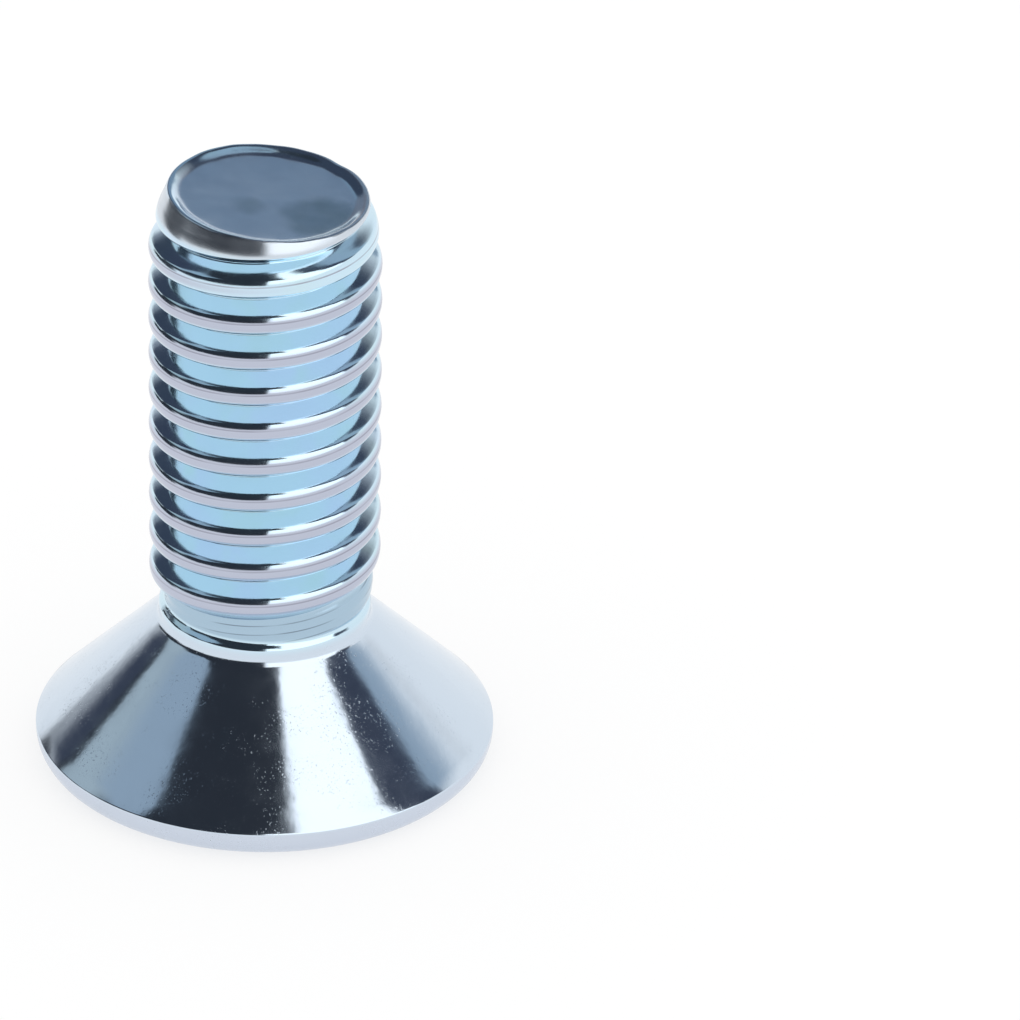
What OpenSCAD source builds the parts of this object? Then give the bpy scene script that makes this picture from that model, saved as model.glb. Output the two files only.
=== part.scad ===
// Hex socket countersunk cap screw, M6 x 16, forged, thread rolled and zinc plated as one piece.
// It stands on the flat face of its head. The origin is the centre of that face, from which
// the length of a countersunk screw is measured, and +Z runs along the axis to the tip.

/* [Head] */
// Diameter of the head
head_d = 11.55; // [9:0.05:18]
// Height at which the rim ends and the cone starts
rim_h = 0.75; // [0.7:0.05:1.5]
// Radius of the rolled-over corner between the head's face and its rim
rim_round = 0.65; // [0.1:0.05:0.7]
// Included angle of the countersunk cone
cone_angle = 90; // [82:1:100]
// Fillet between the cone and the neck
neck_fillet = 0.3; // [0.1:0.05:1]

/* [Socket] */
// Hexagon across its flats
socket_af = 4.05; // [2.5:0.05:5]
// Depth of the hexagon at its corners
socket_depth = 2.2; // [1.5:0.1:2.8]
// Included angle of the cone that the punch leaves at the bottom
socket_point_angle = 120; // [110:1:150]

/* [Shank] */
// Length from the head's face to the tip
length = 16; // [10:1:40]
// Nominal diameter of the thread
thread_d = 6; // [5:0.25:8]
// How far the rolled crests stay under the nominal diameter
crest_allowance = 0.2; // [0:0.02:0.2]
// Pitch of the thread
pitch = 1; // [0.75:0.05:1.5]
// Hand of the thread
thread_hand = "right"; // [right, left]
// Angle about the axis at which the thread starts
thread_start_angle = 100; // [0:10:350]
// Plain length of neck between the fillet and the first thread
neck_l = 0.05; // [0.05:0.05:2]
// Turns over which the thread runs out beside the neck
runout_turns = 1; // [0.5:0.1:2]

/* [Tip] */
// How much smaller the tip's end is than the thread, across the diameter
tip_drop = 0.9; // [0.4:0.05:1.5]
// Slope at which the last turns taper towards the tip, measured from the axis
taper_angle = 15; // [10:1:50]
// Length beside the tip over which the grooves grow to full depth
groove_start_l = 0.9; // [0.3:0.1:2]
// How far the cropped end leans out of square with the axis, in degrees
crop_lean = 4.5; // [0:0.5:8]
// Angle about the axis of the side to which the end leans down
crop_lean_angle = 350; // [0:10:350]
// Width of the lip that rolling draws up round the end
lip_w = 0.2; // [0.1:0.02:0.4]
// Width of the slope inside that lip
dish_slope_w = 0.16; // [0.05:0.01:0.5]
// Depth of the dish at the foot of that slope
dish_edge_depth = 0.17; // [0.05:0.01:0.3]
// Depth of the dish at its middle
dish_depth = 0.22; // [0.05:0.01:0.4]

/* [Hidden] */

// Thread form: a 60 degree ridge with a flat crest and a narrow flat root
crest_r = (thread_d - crest_allowance) / 2;
crest_flat = pitch / 8;
thread_depth = 0.6134 * pitch;
root_r = thread_d / 2 - thread_depth;
flank_run = (crest_r - root_r) * tan(30);
root_flat = pitch - crest_flat - 2 * flank_run;

// A thread is rolled out of a blank about as thick as the thread's pitch diameter
neck_r = (thread_d - crest_allowance / 2) / 2 - 0.3248 * pitch;

// The head's cone meets the neck through a fillet
head_r = head_d / 2;
cone_slope = cone_angle / 2;
cone_top_z = rim_h + (head_r - neck_r) / tan(cone_slope);
fillet_turn = cone_slope;
fillet_reach = neck_fillet * tan(fillet_turn / 2);
neck_start_z = cone_top_z + fillet_reach;
thread_start_z = neck_start_z + neck_l;

// The end's highest edge lies at the screw's full length, and the rest of it leans down from there
tip_r = crest_r - tip_drop / 2;
dish_rim_r = tip_r - lip_w;
crop_z = length - tip_r * tan(crop_lean);

// Straight segments in one turn of the helix and in each arc
helix_segments = 36;
arc_segments = 5;
overlap = 0.01;

// Points of an arc about a centre, from one angle to another
function arc(centre, radius, from, to) = [
    for (i = [0:arc_segments])
        let (a = from + (to - from) * i / arc_segments)
            centre + radius * [cos(a), sin(a)]
];

// Half section of the head and the neck, as radius and height
function head_section() = concat(
    [[0, 0]],
    arc([head_r - rim_round, rim_round], rim_round, -90, 0),
    [[head_r, rim_h]],
    arc([neck_r + neck_fillet, neck_start_z], neck_fillet, 180 + fillet_turn, 180),
    [[neck_r, thread_start_z], [0, thread_start_z]]
);

module head() {
    rotate_extrude($fn = 128) polygon(head_section());
}

// The hexagonal punch: straight flats that end in a cone through the hexagon's corners
module socket() {
    corner_r = socket_af / 2 / cos(30);
    point_h = corner_r / tan(socket_point_angle / 2);
    intersection() {
        translate([0, 0, -1])
            cylinder(r = corner_r, h = 1 + socket_depth + point_h, $fn = 6);
        union() {
            translate([0, 0, -1])
                cylinder(r = corner_r + 1, h = 1 + socket_depth, $fn = 96);
            translate([0, 0, socket_depth - overlap])
                cylinder(r1 = corner_r + 1, r2 = corner_r, h = overlap, $fn = 96);
            translate([0, 0, socket_depth])
                cylinder(r1 = corner_r, r2 = 0, h = point_h, $fn = 96);
        }
    }
}

// Heights of the thread form's corners above the middle of its crest
corner_rise = [
    -(crest_flat / 2 + flank_run + root_flat),
    -(crest_flat / 2 + flank_run),
    -crest_flat / 2,
    crest_flat / 2
];

// Share of the full thread form that is rolled at this step of the helix and this height.
// The first turn lies inside the neck, the next runs out beside it.
function rolled_share(step, z) =
    let (
        from_neck = (step / helix_segments - 1) / runout_turns,
        from_tip = (length - z) / groove_start_l
    )
    min(max(from_neck, 0), 1) * min(max(from_tip, 0), 1);

// One corner of the thread form, at a step of the helix
function thread_point(step, corner) =
    let (
        form_r = corner < 2 ? root_r : crest_r,
        z = thread_start_z + pitch * (step / helix_segments - 1) + corner_rise[corner],
        share = rolled_share(step, z),
        blank_r = neck_r - overlap,
        radius = blank_r + (form_r - blank_r) * share,
        a = thread_start_angle + 360 * step / helix_segments
    )
    [radius * cos(a), radius * sin(a), z];

// The threaded shank as one closed skin that winds up the helix. Its lower end is buried in the
// neck and its upper end stands past the tip, where the tip's outline cuts it off.
module thread_skin() {
    corners = len(corner_rise);
    whole_steps = ceil((length - thread_start_z) / pitch + 3) * helix_segments;
    low = 0;
    high = whole_steps;
    points = concat(
        [for (i = [0:whole_steps], j = [0:corners - 1]) thread_point(i, j)],
        [for (i = [whole_steps + 1:whole_steps + helix_segments]) thread_point(i, 0)],
        [[0, 0, thread_start_z - pitch * 1.5],
         [0, 0, thread_start_z + pitch * (whole_steps / helix_segments - 1.5)]]
    );
    function at(i, j) =
        j == corners ? at(i + helix_segments, 0)
        : i <= whole_steps ? i * corners + j
        : (whole_steps + 1) * corners + i - whole_steps - 1;
    low_centre = len(points) - 2;
    high_centre = len(points) - 1;
    side = [
        for (i = [0:whole_steps - 1], j = [0:corners - 1])
            each [[at(i, j), at(i, j + 1), at(i + 1, j + 1)], [at(i, j), at(i + 1, j + 1), at(i + 1, j)]]
    ];
    low_end = concat(
        [for (i = [0:helix_segments - 1]) [low_centre, at(i, 0), at(i + 1, 0)]],
        [for (j = [0:corners - 1]) [low_centre, at(low, j + 1), at(low, j)]]
    );
    high_end = concat(
        [for (i = [high:high + helix_segments - 1]) [high_centre, at(i + 1, 0), at(i, 0)]],
        [for (j = [0:corners - 1]) [high_centre, at(high, j), at(high, j + 1)]]
    );
    polyhedron(points, concat(side, low_end, high_end));
}

// What the taper leaves of the last turns
module taper_outline() {
    clear_r = crest_r + 1;
    rotate_extrude($fn = 96)
        polygon([
            [0, 0],
            [clear_r, 0],
            [clear_r, length - (clear_r - tip_r) / tan(taper_angle)],
            [tip_r, length],
            [0, length]
        ]);
}

// What cropping and rolling take from the end: all past a leaning plane, and a dish below it
module crop() {
    clear_r = crest_r + 1;
    rotate([0, 0, crop_lean_angle])
        translate([0, 0, crop_z])
            rotate([0, crop_lean, 0])
                rotate_extrude($fn = 96)
                    polygon([
                        [0, -dish_depth],
                        [dish_rim_r - dish_slope_w, -dish_edge_depth],
                        [dish_rim_r, 0],
                        [clear_r, 0],
                        [clear_r, clear_r],
                        [0, clear_r]
                    ]);
}

module countersunk_screw() {
    color([0.74, 0.79, 0.86])
    difference() {
        union() {
            head();
            intersection() {
                mirror([0, thread_hand == "left" ? 1 : 0, 0]) thread_skin();
                taper_outline();
            }
        }
        crop();
        socket();
    }
}

countersunk_screw();
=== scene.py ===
from math import atan2, cos, degrees, exp, hypot, log, pi, radians, sin, tan

import bmesh
import bpy
from mathutils import Matrix, Vector, noise


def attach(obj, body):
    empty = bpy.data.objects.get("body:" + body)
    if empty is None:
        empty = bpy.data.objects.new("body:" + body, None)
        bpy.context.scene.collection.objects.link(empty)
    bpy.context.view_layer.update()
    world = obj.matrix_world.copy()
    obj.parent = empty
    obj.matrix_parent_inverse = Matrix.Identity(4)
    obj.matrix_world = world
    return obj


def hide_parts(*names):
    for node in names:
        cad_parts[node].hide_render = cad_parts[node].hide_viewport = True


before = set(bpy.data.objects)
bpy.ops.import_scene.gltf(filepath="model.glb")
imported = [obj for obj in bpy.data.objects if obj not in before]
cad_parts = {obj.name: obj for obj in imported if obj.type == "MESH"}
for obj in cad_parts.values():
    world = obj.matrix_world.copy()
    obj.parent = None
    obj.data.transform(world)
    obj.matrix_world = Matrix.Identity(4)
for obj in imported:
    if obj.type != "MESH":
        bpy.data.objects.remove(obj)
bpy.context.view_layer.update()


# ---- Camera ----
# The picture is taken from 30 degrees above the table through a long lens, a third of a metre
# from a point behind and to the right of the screw, and is turned by less than a degree.
MM = 0.001
LOOKED_AT = Vector((6.126, 12.050, 0)) * MM
CAMERA_DISTANCE = 315.5 * MM
CAMERA_RISE = radians(29.61)
CAMERA_ROLL = radians(0.75)
PICTURE_PX = 1020
FOCAL_PX = 12065.6
SENSOR_MM = 36

camera_back = Vector((0, -cos(CAMERA_RISE), sin(CAMERA_RISE)))
level_up = Vector((0, sin(CAMERA_RISE), cos(CAMERA_RISE)))
camera_right = Vector((cos(CAMERA_ROLL), 0, 0)) + level_up * sin(CAMERA_ROLL)
camera_up = camera_back.cross(camera_right)

camera = bpy.data.objects.new("camera", bpy.data.cameras.new("camera"))
bpy.context.collection.objects.link(camera)
camera.data.sensor_width = SENSOR_MM
camera.data.lens = FOCAL_PX / PICTURE_PX * SENSOR_MM
camera.data.clip_start = 0.01
camera.data.clip_end = 20
camera.matrix_world = Matrix.Translation(LOOKED_AT + camera_back * CAMERA_DISTANCE) @ Matrix((
    (camera_right.x, camera_up.x, camera_back.x, 0),
    (camera_right.y, camera_up.y, camera_back.y, 0),
    (camera_right.z, camera_up.z, camera_back.z, 0),
    (0, 0, 0, 1),
))
bpy.context.scene.camera = camera


# ---- Thread ----
# A coarse M6 thread, rolled between flat dies out of a steel blank as thick as the pitch diameter.
# The metal flows up into broad crests with a rounded top, above grooves with a narrow root.
# The screw is one piece. It is shaped in millimetres, and brought to metres when it is finished.
PITCH = 1.0
CREST_R = 2.90
CREST_ROUND = 0.40
CREST_SPREAD = radians(35)
SHOULDER_R = CREST_R - CREST_ROUND * (1 - cos(CREST_SPREAD))
SHOULDER_ROUND = 0.02
ROOT_R = 2.36
ROOT_ROUND = 0.03
STEPS_PER_TURN = 144
THREAD_START_Z = 4.074
THREAD_START_ANGLE = radians(100)
TURNS = 14

screw = bmesh.new()
for side in (-1, 1):
    crest = screw.verts.new((CREST_R, 0, side * PITCH / 2))
    bmesh.ops.spin(screw, geom=[crest], cent=(CREST_R - CREST_ROUND, 0, side * PITCH / 2),
                   axis=(0, side, 0), angle=CREST_SPREAD, steps=4)
shoulders = sorted(screw.verts, key=lambda corner: abs(corner.co.z))[:2]
root = screw.verts.new((ROOT_R, 0, 0))
flanks = [screw.edges.new((shoulder, root)) for shoulder in shoulders]
bmesh.ops.subdivide_edges(screw, edges=flanks, cuts=5)


def round_corner(mesh, r, size, segments, z=None):
    """Rounds the corners of an open outline at a distance from the axis, or the one at a height."""
    found = [v for v in mesh.verts
             if abs(v.co.x - r) < 1e-4 and len(v.link_edges) == 2 and not v.link_faces
             and (z is None or abs(v.co.z - z) < 1e-4)]
    bmesh.ops.bevel(mesh, geom=found, offset=size, offset_type='OFFSET', segments=segments,
                    profile=0.5, affect='VERTICES', material=-1)


def all_of(mesh):
    return mesh.verts[:] + mesh.edges[:] + mesh.faces[:]


def corners_in(made):
    return [part for part in made if isinstance(part, bmesh.types.BMVert)]


round_corner(screw, SHOULDER_R, SHOULDER_ROUND, 2)
round_corner(screw, ROOT_R, ROOT_ROUND, 3)
bmesh.ops.translate(screw, verts=screw.verts[:], vec=(0, 0, THREAD_START_Z - PITCH / 2))
bmesh.ops.rotate(screw, verts=screw.verts[:], matrix=Matrix.Rotation(THREAD_START_ANGLE, 3, 'Z'))
bmesh.ops.spin(screw, geom=all_of(screw), axis=(0, 0, 1), angle=2 * pi,
               dvec=(0, 0, PITCH / STEPS_PER_TURN), steps=STEPS_PER_TURN)
first_turn = all_of(screw)
for turn in range(1, TURNS):
    copied = bmesh.ops.duplicate(screw, geom=first_turn)["geom"]
    bmesh.ops.translate(screw, verts=corners_in(copied), vec=(0, 0, PITCH * turn))
bmesh.ops.remove_doubles(screw, verts=screw.verts[:], dist=0.004)

# Beside the head the dies run out: the ridge sinks into a last flat groove above a short neck.
# At the other end the blank tapers, and the first turn is rolled less deep and less high.
NECK_R = 2.66
ROLLED_FROM_Z = 4.20
ROLLED_FULL_Z = 4.37
RIDGE_FROM_Z = 4.45
RIDGE_FULL_Z = 5.15
LAST_GROOVE_R = 2.52
LAST_GROOVE_Z = 4.9
DEEP_GROOVE_Z = 6.0
TIP_Z = 15.98
TIP_R = 2.45
TAPER = tan(radians(15))
GROOVE_START_H = 0.9


def linear_step(value, start, end):
    """How far a value has come from start to end, from 0 to 1."""
    return min(max((value - start) / (end - start), 0), 1)


def smooth_step(value, start, end):
    """The same, with a soft start and end."""
    share = linear_step(value, start, end)
    return share * share * (3 - 2 * share)


for corner in screw.verts:
    x, y, z = corner.co
    r = hypot(x, y)
    ridge_share = (r - ROOT_R) / (CREST_R - ROOT_R)
    turned = ((atan2(y, x) - THREAD_START_ANGLE) / (2 * pi)) % 1
    first_crest_z = THREAD_START_Z + PITCH * turned
    crest_z = first_crest_z + PITCH * round((z - first_crest_z) / PITCH)
    crest_r = min(CREST_R, (CREST_R + TIP_R + (TIP_Z - crest_z) * TAPER) / 2)
    groove_share = smooth_step(z, LAST_GROOVE_Z, DEEP_GROOVE_Z)
    groove_r = LAST_GROOVE_R + (ROOT_R - LAST_GROOVE_R) * groove_share
    ridge_share *= smooth_step(crest_z, RIDGE_FROM_Z, RIDGE_FULL_Z)
    rolled_r = groove_r + (crest_r - groove_r) * ridge_share
    rolled_share = smooth_step(z, ROLLED_FROM_Z, ROLLED_FULL_Z)
    rolled_share *= linear_step(TIP_Z - z, 0, GROOVE_START_H)
    corner.co.xy *= (NECK_R + (rolled_r - NECK_R) * rolled_share) / r


# ---- Tip ----
# The blank was cropped askew, so its end leans a few degrees and stands a little off centre.
# Rolling drew the skin up round it: the face is a shallow dish inside a rounded lip.
TAPER_FROM_Z = 13.5
TAPER_MARGIN = 0.055
CHAMFER_FROM_Z = 14.4
CHAMFER_R = 2.50
CHAMFER = tan(radians(25))
LIP_CENTRE = Vector((0.09, 0))
LIP_H = 0.03
CROP_LEAN = radians(4.5)
CROP_LEAN_TO = radians(-10)
EDGE_SOFTNESS = 0.03

lean_way = Vector((cos(CROP_LEAN_TO), sin(CROP_LEAN_TO), 0))
crop_normal = (lean_way.x * sin(CROP_LEAN), lean_way.y * sin(CROP_LEAN), cos(CROP_LEAN))


def crop_height(x, y):
    """Height of the leaning end above a point of the table."""
    return TIP_Z - (TIP_R + x * lean_way.x + y * lean_way.y) * tan(CROP_LEAN)


def soft_limit(r, limit):
    """The smaller of two radii, with the corner between them rounded."""
    return r - EDGE_SOFTNESS * log(1 + exp((r - limit) / EDGE_SOFTNESS))


for corner in screw.verts:
    x, y, z = corner.co
    if z > TAPER_FROM_Z:
        taper_r = TIP_R + TAPER_MARGIN + (TIP_Z - z) * TAPER
        corner.co.xy *= soft_limit(hypot(x, y), taper_r) / hypot(x, y)
    if z > CHAMFER_FROM_Z:
        chamfer_r = CHAMFER_R + (crop_height(x, y) - z) * CHAMFER
        from_centre = corner.co.xy - LIP_CENTRE
        r = from_centre.length
        corner.co.xy = LIP_CENTRE + from_centre * soft_limit(r, chamfer_r) / r

bmesh.ops.bisect_plane(screw, geom=all_of(screw), dist=1e-5, clear_outer=True,
                       plane_co=(0, 0, crop_height(0, 0) - LIP_H), plane_no=crop_normal)
NECK_Z = THREAD_START_Z - 0.01
bmesh.ops.bisect_plane(screw, geom=all_of(screw), dist=1e-5, clear_outer=True,
                       plane_co=(0, 0, NECK_Z), plane_no=(0, 0, -1))


def open_rim(mesh, z, reach):
    """The edges of the open rims that lie within reach of a height."""
    return [e for e in mesh.edges
            if e.is_boundary and all(abs(v.co.z - z) < reach for v in e.verts)]


def next_ring(mesh, rim):
    """Extrudes an open rim, and gives the corners and the edges of the new one."""
    made = bmesh.ops.extrude_edge_only(mesh, edges=rim)["geom"]
    return corners_in(made), [part for part in made if isinstance(part, bmesh.types.BMEdge)]


# Each ring's radius, and its height above the foot of the lip
LIP_AND_DISH = [
    (2.520, 0.000), (2.508, 0.014), (2.490, 0.024), (2.465, 0.029), (2.440, 0.027),
    (2.412, 0.017), (2.380, 0.002), (2.340, -0.020), (2.295, -0.046), (2.250, -0.072),
    (2.205, -0.094), (2.160, -0.110), (2.110, -0.120), (2.030, -0.127), (1.900, -0.133),
    (1.700, -0.140), (1.450, -0.146), (1.150, -0.151), (0.850, -0.155), (0.550, -0.158),
    (0.260, -0.160),
]
rim = open_rim(screw, TIP_Z, 1)
ring_r, ring_z = LIP_AND_DISH[0]
for r, z in LIP_AND_DISH[1:]:
    corners, rim = next_ring(screw, rim)
    bmesh.ops.scale(screw, verts=corners, vec=(r / ring_r, r / ring_r, 1))
    bmesh.ops.translate(screw, verts=corners, vec=(0, 0, z - ring_z))
    for corner in corners:
        along = corner.co.x * lean_way.x + corner.co.y * lean_way.y
        corner.co.z -= along * (1 - ring_r / r) * tan(CROP_LEAN)
    ring_r, ring_z = r, z
bmesh.ops.pointmerge(screw, verts=corners,
                     merge_co=sum((v.co for v in corners), Vector()) / len(corners))

# Shallow waves and nicks that the cropping and rolling left in the face and along its lip, and
# a dent in the lip. The drop keeps the highest of them within the screw's length.
UNEVEN_FROM_Z = 15.3
UNEVEN_FADE_H = 0.3
WAVE_H = 0.04
WAVES_PER_MM = 0.5
NICK_H = 0.012
NICKS_PER_MM = 2.2
UNEVEN_DROP = 0.022
LIP_IN_R = 2
DENT_AT = 44
DENT_SPREAD = 7
DENT_SHARE = 0.022

for corner in screw.verts:
    x, y, z = corner.co
    if z > UNEVEN_FROM_Z:
        r = hypot(x, y)
        fade = linear_step(z - UNEVEN_FROM_Z, 0, UNEVEN_FADE_H)
        wave = noise.noise(Vector((x * WAVES_PER_MM, y * WAVES_PER_MM, 1.7))) * WAVE_H
        nicks = noise.noise(Vector((x * NICKS_PER_MM, y * NICKS_PER_MM, 8.3))) * NICK_H
        corner.co.z += (wave + nicks - UNEVEN_DROP) * fade
        turn = (degrees(atan2(y, x)) - DENT_AT + 180) % 360 - 180
        if r > LIP_IN_R:
            corner.co.xy *= 1 - DENT_SHARE * exp(-(turn / DENT_SPREAD) ** 2) * fade


# ---- Head ----
# Cold headed from the same blank: a 90 degree cone that meets the neck in a small fillet,
# with its sharp outer edge rolled over into the flat face.
HEAD_R = 5.775
RIM_H = 0.75
RIM_ROUND = 0.65
CONE_EDGE_ROUND = 0.03
NECK_FILLET = 0.124
NECK_GAP = 0.02
FACE_IN_R = 3.0

cone_top_z = RIM_H + HEAD_R - NECK_R
section = [
    (NECK_R, NECK_Z - NECK_GAP),
    (NECK_R, cone_top_z),
    (HEAD_R, RIM_H),
    (HEAD_R, 0),
    (FACE_IN_R, 0),
]
head = bmesh.new()
head_corners = [head.verts.new((r, 0, z)) for r, z in section]
head_lines = [head.edges.new(pair) for pair in zip(head_corners, head_corners[1:])]
bmesh.ops.subdivide_edges(head, edges=[head_lines[1]], cuts=11)
bmesh.ops.subdivide_edges(head, edges=[head_lines[3]], cuts=4)
round_corner(head, NECK_R, NECK_FILLET, 6, cone_top_z)
round_corner(head, HEAD_R, CONE_EDGE_ROUND, 3, RIM_H)
round_corner(head, HEAD_R, RIM_ROUND, 10, 0)
bmesh.ops.spin(head, geom=all_of(head), axis=(0, 0, 1), angle=2 * pi,
               steps=STEPS_PER_TURN, use_merge=True)
head_mesh = bpy.data.meshes.new("head")
head.to_mesh(head_mesh)
head.free()
screw.from_mesh(head_mesh)
bpy.data.meshes.remove(head_mesh)
bmesh.ops.bridge_loops(screw, edges=open_rim(screw, NECK_Z, 2 * NECK_GAP))


# ---- Hexagon socket ----
# Punched cold into the head's face for a 4 mm key. Its flats end where the punch's point,
# a blunt cone as wide as the hexagon's corners, pressed the bottom.
SOCKET_AF = 4.05
SOCKET_DEPTH = 2.2
SOCKET_CORNER_R = SOCKET_AF / 2 / cos(radians(30))
POINT_SLOPE = tan(radians(60))
MOUTH_AND_FLATS = [(1.03, 0.0), (1.008, 0.012), (1.0, 0.045), (1.0, 0.75), (1.0, 1.45)]
BOTTOM_RINGS = [1.0, 0.96, 0.8, 0.6, 0.4, 0.2, 0.05]


def hexagon_r(x, y):
    """Distance from the axis to the socket's wall in the direction of a point."""
    turn = (atan2(y, x) + 2 * pi) % (pi / 3) - pi / 6
    return SOCKET_AF / 2 / cos(turn)


mouth = open_rim(screw, 0, 0.01)
for share, z in MOUTH_AND_FLATS:
    corners, mouth = next_ring(screw, mouth)
    for corner in corners:
        r = hypot(corner.co.x, corner.co.y)
        corner.co.xy *= hexagon_r(corner.co.x, corner.co.y) * share / r
        corner.co.z = z
for share in BOTTOM_RINGS:
    corners, mouth = next_ring(screw, mouth)
    for corner in corners:
        r = hypot(corner.co.x, corner.co.y)
        new_r = hexagon_r(corner.co.x, corner.co.y) * share
        corner.co.xy *= new_r / r
        corner.co.z = SOCKET_DEPTH + (SOCKET_CORNER_R - new_r) / POINT_SLOPE
bmesh.ops.pointmerge(screw, verts=corners,
                     merge_co=(0, 0, SOCKET_DEPTH + SOCKET_CORNER_R / POINT_SLOPE))

bmesh.ops.remove_doubles(screw, verts=screw.verts[:], dist=0.0005)
bmesh.ops.recalc_face_normals(screw, faces=screw.faces[:])
bmesh.ops.scale(screw, verts=screw.verts[:], vec=(MM, MM, MM))
for face in screw.faces:
    face.smooth = True
screw_mesh = bpy.data.meshes.new("countersunk_screw_finished")
screw.to_mesh(screw_mesh)
screw.free()
screw_mesh.set_sharp_from_angle(angle=radians(38))
screw_piece = bpy.data.objects.new("countersunk_screw_finished", screw_mesh)
bpy.context.collection.objects.link(screw_piece)
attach(screw_piece, "root")
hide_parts("countersunk_screw")


# ---- Zinc plating ----
# Bright zinc under a clear blue passivation, a film thin enough to tint what it mirrors. Handling
# has rubbed it off the crests and the rim, and the head's face kept the satin grain of the punch.
zinc = bpy.data.materials.new("blue_passivated_zinc")
zinc.use_nodes = True
nodes, links = zinc.node_tree.nodes, zinc.node_tree.links
shader = nodes["Principled BSDF"]
shader.inputs["Metallic"].default_value = 1.0

place = nodes.new("ShaderNodeTexCoord")
axes = nodes.new("ShaderNodeSeparateXYZ")
links.new(place.outputs["Object"], axes.inputs[0])
flattened = nodes.new("ShaderNodeCombineXYZ")
links.new(axes.outputs["X"], flattened.inputs["X"])
links.new(axes.outputs["Y"], flattened.inputs["Y"])
from_axis = nodes.new("ShaderNodeVectorMath")
from_axis.operation = 'LENGTH'
links.new(flattened.outputs[0], from_axis.inputs[0])


def math_node(operation, first, second=0.5):
    """A Math node on two sockets or plain values."""
    node = nodes.new("ShaderNodeMath")
    node.operation = operation
    for value, socket in zip((first, second), node.inputs):
        if isinstance(value, bpy.types.NodeSocket):
            links.new(value, socket)
        else:
            socket.default_value = value
    return node.outputs[0]


def product(*shares):
    """Shares multiplied by one another: where all of them hold."""
    result = shares[0]
    for share in shares[1:]:
        result = math_node('MULTIPLY', result, share)
    return result


def ramp_between(value, start, end, low=0.0, high=1.0):
    """Goes smoothly from low to high while the value goes from start to end."""
    node = nodes.new("ShaderNodeMapRange")
    node.interpolation_type = 'SMOOTHSTEP'
    links.new(value, node.inputs["Value"])
    node.inputs["From Min"].default_value = start
    node.inputs["From Max"].default_value = end
    node.inputs["To Min"].default_value = low
    node.inputs["To Max"].default_value = high
    return node.outputs["Result"]


def noise_field(features_per_m, detail, seed_shift, stretch=(1, 1, 1)):
    """Noise in the screw's own coordinates, shifted so that no two fields agree."""
    moved = nodes.new("ShaderNodeMapping")
    moved.inputs["Location"].default_value = (seed_shift, seed_shift * 0.7, seed_shift * 1.3)
    moved.inputs["Scale"].default_value = stretch
    links.new(place.outputs["Object"], moved.inputs["Vector"])
    field = nodes.new("ShaderNodeTexNoise")
    field.inputs["Scale"].default_value = features_per_m
    field.inputs["Detail"].default_value = detail
    links.new(moved.outputs[0], field.inputs["Vector"])
    return field.outputs["Fac"]


def tinted(share, under, over):
    """Mixes a colour over the one below it by a share."""
    node = nodes.new("ShaderNodeMix")
    node.data_type = 'RGBA'
    links.new(share, node.inputs["Factor"])
    if isinstance(under, bpy.types.NodeSocket):
        links.new(under, node.inputs["A"])
    else:
        node.inputs["A"].default_value = (*under, 1)
    node.inputs["B"].default_value = (*over, 1)
    return node.outputs["Result"]


# Where each finish lies: heights above the head's face and distances from the axis, in metres,
# between which it comes in
height = axes.outputs["Z"]
distance = from_axis.outputs["Value"]
on_shank = ramp_between(height, 0.0041, 0.0044)
on_crest = product(ramp_between(distance, 0.00284, 0.00289), on_shank)
on_head = ramp_between(height, 0.0043, 0.0040)
on_rim = ramp_between(height, 0.00075, 0.00068)
on_face = ramp_between(height, 0.00012, 0.00002)
on_tip = product(ramp_between(height, 0.0151, 0.0153), ramp_between(distance, 0.0023, 0.0021))
on_chamfer = product(ramp_between(height, 0.0152, 0.0154),
                     ramp_between(distance, 0.00238, 0.00248))

BLUE_FILM = (0.605, 0.785, 0.90)
VIOLET_FILM = (0.61, 0.765, 0.91)
PALE_FILM = (0.60, 0.785, 0.87)
HEAD_TINT = (0.62, 0.71, 0.81)
RIM_TINT = (0.61, 0.67, 0.77)
CREST_TINT = (0.50, 0.535, 0.645)
TIP_TINT = (0.60, 0.70, 0.82)
DARK_PATCH_TINT = (0.33, 0.43, 0.50)
CLOUD_TINT = (0.47, 0.57, 0.70)
CHAMFER_TINT = (0.62, 0.68, 0.75)
# Painted shade along the crests' fold
FOLD_SHADE_TINT = (0.33, 0.34, 0.42)
# Painted reflection of shade in the last groove beside the neck
RUN_OUT_SHADE_TINT = (0.40, 0.54, 0.66)
DIE_MARK_TINT = (0.16, 0.21, 0.27)

film = tinted(ramp_between(noise_field(420, 2, 0.3), 0.42, 0.66), BLUE_FILM, VIOLET_FILM)
film = tinted(ramp_between(noise_field(900, 3, 0.8), 0.50, 0.72), film, PALE_FILM)
film = tinted(on_head, film, HEAD_TINT)
film = tinted(on_rim, film, RIM_TINT)
film = tinted(on_crest, film, CREST_TINT)
film = tinted(on_tip, film, TIP_TINT)

# The tip's face has two darker patches and a cloudy plating
BLOTCH_EDGE = 0.0006


def blotch(x, y, inner, outer):
    """A soft patch round a point of the tip's face, its edge made uneven by noise."""
    apart = nodes.new("ShaderNodeVectorMath")
    apart.operation = 'DISTANCE'
    links.new(flattened.outputs[0], apart.inputs[0])
    apart.inputs[1].default_value = (x, y, 0)
    uneven = math_node('MULTIPLY', noise_field(1600, 3, x * 100), BLOTCH_EDGE)
    return ramp_between(math_node('ADD', apart.outputs["Value"], uneven),
                        outer + BLOTCH_EDGE / 2, inner + BLOTCH_EDGE / 2)


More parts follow.
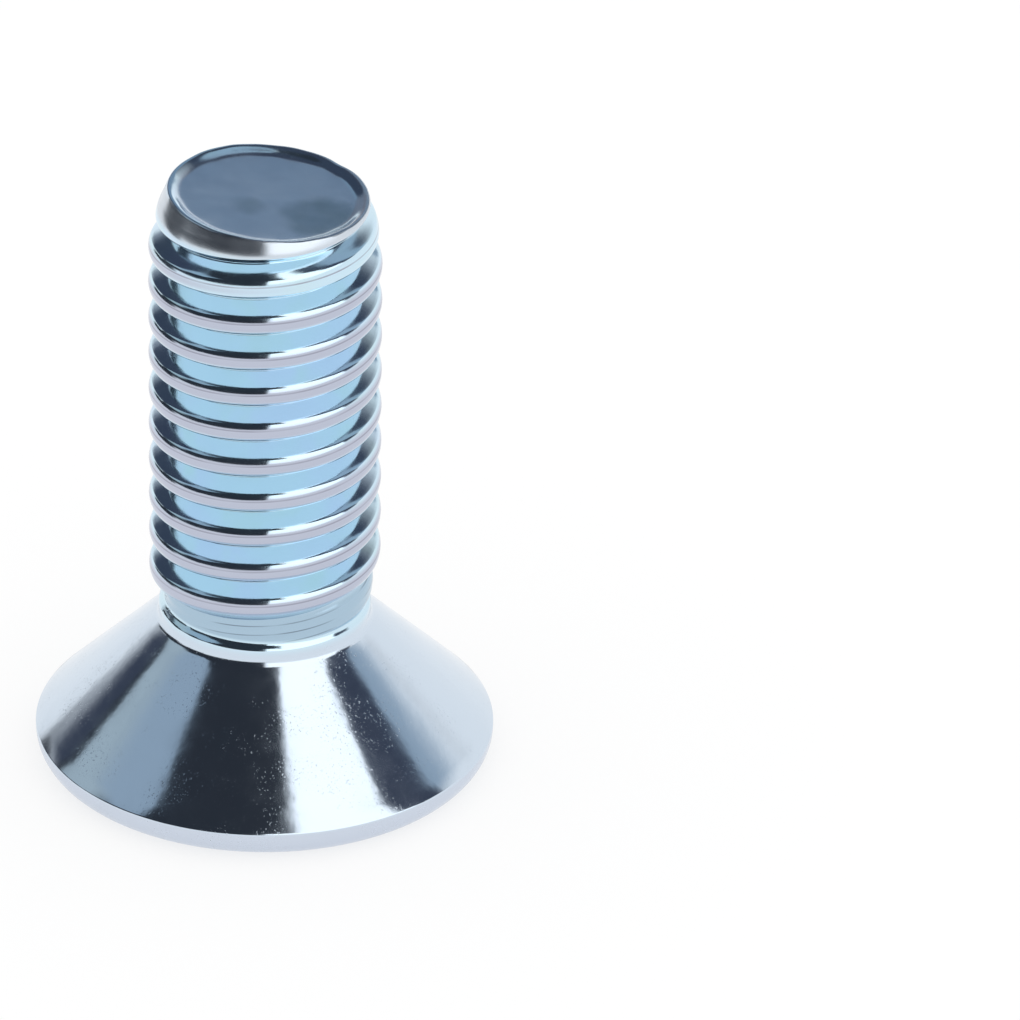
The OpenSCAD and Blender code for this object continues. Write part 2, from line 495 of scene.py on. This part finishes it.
dark_patch_right = product(blotch(0.00145, -0.00085, 0.0007, 0.0013), 0.95)
dark_patch_middle = product(blotch(-0.00042, -0.00045, 0.0001, 0.0006), 0.7)
dark_patches = product(math_node('MAXIMUM', dark_patch_right, dark_patch_middle), on_tip)
film = tinted(dark_patches, film, DARK_PATCH_TINT)
cloudy = product(ramp_between(noise_field(1000, 3, 9.1), 0.35, 0.65, 0.0, 0.4), on_tip)
film = tinted(cloudy, film, CLOUD_TINT)
film = tinted(on_chamfer, film, CHAMFER_TINT)

# How far a point lies above the crest below it, as a share of the pitch, wound up the thread.
# Just above its middle a crest has the fold where the metal from its two flanks met, and the dark
# line along it is painted shade of that crease.
wound_angle = math_node('MULTIPLY', math_node('ARCTAN2', axes.outputs["Y"], axes.outputs["X"]),
                        -1 / (2 * pi))
wound_height = math_node('MULTIPLY', height, 1 / (PITCH * MM))
crest_at = THREAD_START_ANGLE / (2 * pi) - THREAD_START_Z / PITCH
phase = math_node('FRACT', math_node('ADD', math_node('ADD', wound_height, wound_angle), crest_at))
crest_fold_shade = product(ramp_between(phase, 0.045, 0.06), ramp_between(phase, 0.10, 0.08),
                     on_shank, ramp_between(distance, 0.0027, 0.0028),
                     ramp_between(noise_field(700, 2, 2.3), 0.3, 0.6, 0.35, 0.85))
film = tinted(crest_fold_shade, film, FOLD_SHADE_TINT)

# The last groove beside the neck is painted darker, a painted reflection of shade, with lines that
# the ends of the dies left in it
LINES_PER_PITCH = 4
beside_neck = product(ramp_between(height, 0.00436, 0.00446),
                      ramp_between(height, 0.00530, 0.00505))
film = tinted(beside_neck, film, RUN_OUT_SHADE_TINT)
die_wave = math_node('SINE', math_node('MULTIPLY', phase, LINES_PER_PITCH * 2 * pi))
die_marks = product(ramp_between(die_wave, 0.86, 0.98), beside_neck,
                    ramp_between(noise_field(500, 2, 8.2), 0.38, 0.6, 0.0, 0.8))
film = tinted(die_marks, film, DIE_MARK_TINT)
links.new(film, shader.inputs["Base Color"])

# The plating is mirror-bright, and duller on the tip, its chamfer, the rim and the head's face
BRIGHT = 0.10
mottled = ramp_between(noise_field(1500, 4, 1.1), 0.35, 0.7, 0.0, 0.05)
pitted = product(ramp_between(noise_field(17000, 1, 3.1), 0.64, 0.71),
                 ramp_between(noise_field(900, 2, 4.4), 0.42, 0.60), on_head)
matt = math_node('ADD', mottled, BRIGHT)
for where, duller_by in ((on_tip, 0.12), (on_chamfer, 0.11), (on_rim, 0.10), (on_face, 0.12),
                         (pitted, 0.15)):
    matt = math_node('ADD', matt, math_node('MULTIPLY', where, duller_by))
links.new(matt, shader.inputs["Roughness"])

# Faint waves of the drawn wire, pits in the zinc, the grain of the punched face, and the fine
# lines that the ends of the dies left beside the neck
MICRON = 0.001 * MM


def relief(depth, field, under=None):
    """Bumps of so many metres from a field, on top of those below."""
    node = nodes.new("ShaderNodeBump")
    node.inputs["Distance"].default_value = depth
    node.inputs["Strength"].default_value = 1
    links.new(field, node.inputs["Height"])
    if under is not None:
        links.new(under, node.inputs["Normal"])
    return node.outputs["Normal"]


waves = relief(4 * MICRON, noise_field(1900, 2, 5.2, (1, 1, 0.5)))
pits = relief(1.1 * MICRON, math_node('SUBTRACT', 1.0, pitted), waves)
grain = relief(6 * MICRON, product(noise_field(14000, 3, 6.6), on_face), pits)
die_lines = product(die_wave, beside_neck, noise_field(600, 2, 7.5))
links.new(relief(7 * MICRON, die_lines, grain), shader.inputs["Normal"])
screw_mesh.materials.append(zinc)


# ---- Table ----
# A white table under an even white sky. It lies a hair below the face that the screw stands on,
# and is seen only from above, so that a view from below shows the face and the socket.
TABLE_DROP = 0.02 * MM
TABLE_HALF = 2
TABLE_PAINT = (0.3, 0.3, 0.3)
TABLE_GLOW = 0.71

table = bmesh.new()
bmesh.ops.create_grid(table, x_segments=1, y_segments=1, size=TABLE_HALF)
table_mesh = bpy.data.meshes.new("table")
table.to_mesh(table_mesh)
table.free()
table_top = bpy.data.objects.new("table", table_mesh)
table_top.location.z = -TABLE_DROP
bpy.context.collection.objects.link(table_top)

white = bpy.data.materials.new("white_table")
white.use_nodes = True
nodes, links = white.node_tree.nodes, white.node_tree.links
nodes.remove(nodes["Principled BSDF"])
paper = nodes.new("ShaderNodeBsdfDiffuse")
paper.inputs["Color"].default_value = (*TABLE_PAINT, 1)
glow = nodes.new("ShaderNodeEmission")
glow.inputs["Color"].default_value = (1, 1, 1, 1)
glow.inputs["Strength"].default_value = TABLE_GLOW
lit = nodes.new("ShaderNodeAddShader")
links.new(paper.outputs[0], lit.inputs[0])
links.new(glow.outputs[0], lit.inputs[1])
underside = nodes.new("ShaderNodeNewGeometry")
see_through = nodes.new("ShaderNodeBsdfTransparent")
one_sided = nodes.new("ShaderNodeMixShader")
links.new(underside.outputs["Backfacing"], one_sided.inputs["Fac"])
links.new(lit.outputs[0], one_sided.inputs[1])
links.new(see_through.outputs[0], one_sided.inputs[2])
links.new(one_sided.outputs[0], nodes["Material Output"].inputs["Surface"])
table_mesh.materials.append(white)

sky = bpy.data.worlds.new("white_sky")
sky.use_nodes = True
sky.node_tree.nodes["Background"].inputs["Color"].default_value = (1, 1, 1, 1)
sky.node_tree.nodes["Background"].inputs["Strength"].default_value = 1
bpy.context.scene.world = sky


# ---- Studio cards ----
# Painted cards and black flags on domes round the screw, which the bright metal mirrors. Nothing
# else sees them, so they neither light the table nor throw a shadow on it.
CARD_STEP = 4


def card_steps(angle):
    return max(2, int(degrees(angle) / CARD_STEP))


def studio_card(name, turn, rise, colour, fade, away):
    """A card on a dome of a radius, between two compass angles and two heights in degrees.
    It fades out over so many degrees inside its first and last angle, its foot and its top."""
    middle, half = radians(turn[0] + turn[1]) / 2, radians(turn[1] - turn[0]) / 2
    low, high = radians(rise[0]), radians(rise[1])
    card = bmesh.new()
    foot = card.verts.new((away * cos(low), 0, away * sin(low)))
    bmesh.ops.spin(card, geom=[foot], axis=(0, -1, 0), angle=high - low,
                   steps=card_steps(high - low))
    bmesh.ops.rotate(card, verts=card.verts[:], matrix=Matrix.Rotation(-half, 3, 'Z'))
    bmesh.ops.spin(card, geom=all_of(card), axis=(0, 0, 1), angle=2 * half,
                   steps=card_steps(2 * half))
    mesh = bpy.data.meshes.new(name)
    card.to_mesh(mesh)
    card.free()
    piece = bpy.data.objects.new(name, mesh)
    piece.rotation_euler.z = middle
    bpy.context.collection.objects.link(piece)
    piece.visible_camera = False
    piece.visible_diffuse = False
    piece.visible_shadow = False

    paint = bpy.data.materials.new(name)
    paint.use_nodes = True
    nodes, links = paint.node_tree.nodes, paint.node_tree.links
    nodes.remove(nodes["Principled BSDF"])
    place = nodes.new("ShaderNodeTexCoord")
    axes = nodes.new("ShaderNodeSeparateXYZ")
    links.new(place.outputs["Object"], axes.inputs[0])
    side = nodes.new("ShaderNodeMath")
    side.operation = 'ARCTAN2'
    links.new(axes.outputs["Y"], side.inputs[0])
    links.new(axes.outputs["X"], side.inputs[1])
    level = nodes.new("ShaderNodeMath")
    level.operation = 'DIVIDE'
    level.inputs[1].default_value = away
    links.new(axes.outputs["Z"], level.inputs[0])
    climb = nodes.new("ShaderNodeMath")
    climb.operation = 'ARCSINE'
    links.new(level.outputs[0], climb.inputs[0])
    share = None
    for angle, edge, inward in ((side, -half, fade[0]), (side, half, -fade[1]),
                                (climb, low, fade[2]), (climb, high, -fade[3])):
        if not inward:
            continue
        fading = nodes.new("ShaderNodeMapRange")
        fading.interpolation_type = 'SMOOTHSTEP'
        fading.inputs["From Min"].default_value = edge
        fading.inputs["From Max"].default_value = edge + radians(inward)
        links.new(angle.outputs[0], fading.inputs["Value"])
        if share is None:
            share = fading.outputs["Result"]
        else:
            both = nodes.new("ShaderNodeMath")
            both.operation = 'MULTIPLY'
            links.new(share, both.inputs[0])
            links.new(fading.outputs["Result"], both.inputs[1])
            share = both.outputs[0]
    light = nodes.new("ShaderNodeEmission")
    light.inputs["Color"].default_value = (*colour, 1)
    light.inputs["Strength"].default_value = 1
    clear = nodes.new("ShaderNodeBsdfTransparent")
    faded = nodes.new("ShaderNodeMixShader")
    links.new(share, faded.inputs["Fac"])
    links.new(clear.outputs[0], faded.inputs[1])
    links.new(light.outputs[0], faded.inputs[2])
    links.new(faded.outputs[0], nodes["Material Output"].inputs["Surface"])
    mesh.materials.append(paint)


BLACK = (0.03, 0.035, 0.045)
NAVY = (0.05, 0.06, 0.09)
GREY = (0.2, 0.21, 0.26)
SLATE = (0.225, 0.295, 0.38)
GREY_BLUE = (0.37, 0.46, 0.55)
PALE_GREY = (0.47, 0.55, 0.59)
WHITE = (1.5, 1.5, 1.5)

# The dark front half of the room, with two cards on its left and a small flag close by
studio_card("flag_front", (200, 272), (4, 90), BLACK, fade=(3, 1, 4, 0), away=0.47)
studio_card("flag_front_high", (268, 291), (42, 90), BLACK, fade=(0, 2, 4, 0), away=0.47)
studio_card("flag_front_left", (151, 206), (2, 90), BLACK, fade=(3, 0, 4, 0), away=0.47)
studio_card("card_left", (155, 205), (29, 60), GREY_BLUE, fade=(2, 4, 5, 6), away=0.46)
studio_card("card_left_low", (155, 188), (14, 38), PALE_GREY, fade=(2, 14, 4, 8), away=0.45)
studio_card("flag_left_near", (134, 181), (0, 13), BLACK, fade=(8, 10, 0, 3), away=0.10)

# The large white softbox on the right, narrower towards its top
studio_card("softbox", (272, 352), (8, 33), WHITE, fade=(1, 3, 6, 0), away=0.46)
studio_card("softbox_middle", (272, 345), (32, 46), WHITE, fade=(1, 2, 0, 0), away=0.46)
studio_card("softbox_high", (289, 345), (44, 90), WHITE, fade=(2, 2, 0, 0), away=0.46)

# Dark corners of the room behind the softbox and on the left, and the grey wall at the back
studio_card("flag_right", (-16, 12), (12, 90), NAVY, fade=(2, 5, 10, 0), away=0.48)
studio_card("wall_right", (4, 36), (20, 90), GREY_BLUE, fade=(5, 6, 12, 0), away=0.49)
studio_card("flag_right_back", (28, 66), (14, 90), NAVY, fade=(6, 8, 29, 0), away=0.50)
studio_card("flag_left", (112, 157), (6, 90), NAVY, fade=(6, 3, 12, 0), away=0.48)
studio_card("flag_left_back", (92, 122), (6, 34), GREY, fade=(8, 8, 8, 8), away=0.47)
studio_card("wall_back", (58, 120), (15, 52), SLATE, fade=(4, 4, 3, 4), away=0.49)
studio_card("wall_back_high", (58, 120), (48, 90), NAVY, fade=(4, 4, 4, 0), away=0.51)

bpy.context.scene.view_settings.view_transform = "Standard"
